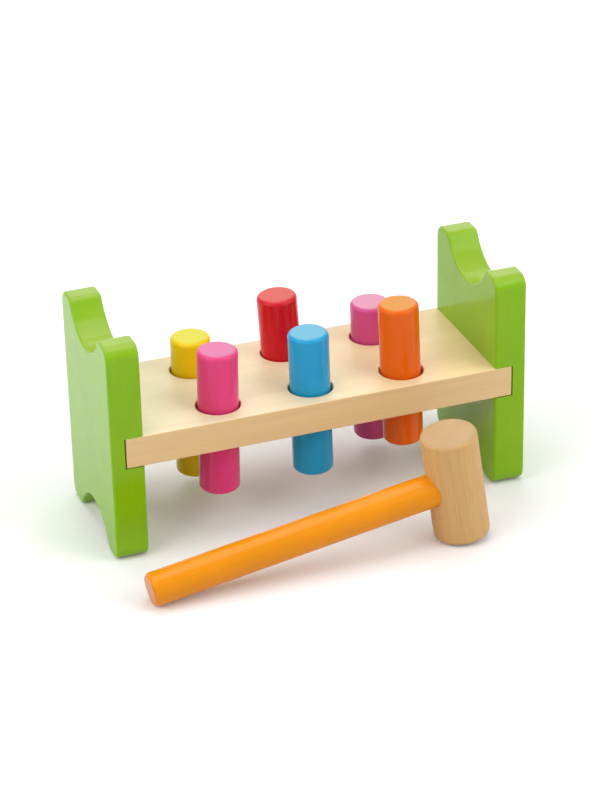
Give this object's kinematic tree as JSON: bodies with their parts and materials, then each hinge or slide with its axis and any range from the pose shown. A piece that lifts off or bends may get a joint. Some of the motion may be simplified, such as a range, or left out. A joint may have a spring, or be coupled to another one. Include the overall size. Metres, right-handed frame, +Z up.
{
  "type": "peg pounding bench",
  "caption": "Reversible wooden pounding bench: a drilled board housed between scooped end panels, coloured pegs gripped in its holes, and a mallet resting in front.",
  "frame": {"origin": "on the table, at the centre of the ground that the bench and the mallet cover together", "axes": "+X along the bench to the viewer's right, +Y from the mallet to the back of the bench, +Z up"},
  "size_m": [0.22, 0.1302, 0.117],
  "materials": {
    "board_wood": "satin clear lacquer on pale close-grained wood",
    "green_lacquer": "gloss green lacquer on wood",
    "yellow_lacquer": "gloss lacquer on wood",
    "red_lacquer": "gloss lacquer on wood",
    "purple_lacquer": "gloss lacquer on wood",
    "pink_lacquer": "gloss lacquer on wood",
    "blue_lacquer": "gloss lacquer on wood",
    "orange_lacquer": "gloss lacquer on wood",
    "handle_lacquer": "gloss orange stain and lacquer on wood",
    "mallet_wood": "satin clear lacquer on wood with short dark flecks",
    "dowel_wood": "bare",
    "grip_rubber": "matt"
  },
  "bodies": {
    "bench": {"peg_board": "board_wood", "left_end_panel": "green_lacquer", "right_end_panel": "green_lacquer", "yellow_grip_ring": "grip_rubber", "red_grip_ring": "grip_rubber", "purple_grip_ring": "grip_rubber", "pink_grip_ring": "grip_rubber", "blue_grip_ring": "grip_rubber", "orange_grip_ring": "grip_rubber", "left_front_dowel": "dowel_wood", "left_back_dowel": "dowel_wood", "right_front_dowel": "dowel_wood", "right_back_dowel": "dowel_wood"},
    "yellow_peg": {"yellow_peg": "yellow_lacquer"},
    "red_peg": {"red_peg": "red_lacquer"},
    "purple_peg": {"purple_peg": "purple_lacquer"},
    "pink_peg": {"pink_peg": "pink_lacquer"},
    "blue_peg": {"blue_peg": "blue_lacquer"},
    "orange_peg": {"orange_peg": "orange_lacquer"},
    "mallet": {"mallet_head": "mallet_wood", "mallet_handle": "handle_lacquer"}
  },
  "joints": [
    {"name": "yellow_peg_slide", "type": "slide", "parent": "bench", "child": "yellow_peg", "axis": [-0.007, 0, 1], "range_m": [-0.0089, 0.0303]},
    {"name": "red_peg_slide", "type": "slide", "parent": "bench", "child": "red_peg", "axis": [-0.0558, 0, 0.9984], "range_m": [-0.0232, 0.0154]},
    {"name": "purple_peg_slide", "type": "slide", "parent": "bench", "child": "purple_peg", "axis": [-0.0175, 0, 0.9998], "range_m": [-0.0103, 0.0289]},
    {"name": "pink_peg_slide", "type": "slide", "parent": "bench", "child": "pink_peg", "axis": [0.0175, 0, 0.9998], "range_m": [-0.0208, 0.0184]},
    {"name": "blue_peg_slide", "type": "slide", "parent": "bench", "child": "blue_peg", "axis": [-0.0175, 0, 0.9998], "range_m": [-0.0213, 0.0179]},
    {"name": "orange_peg_slide", "type": "slide", "parent": "bench", "child": "orange_peg", "axis": [-0.0332, 0, 0.9995], "range_m": [-0.0281, 0.0109]},
    {"name": "mallet_lift", "type": "slide", "parent": "bench", "child": "mallet", "axis": [0, 0, 1], "range_m": [0, 0.15]}
  ]
}
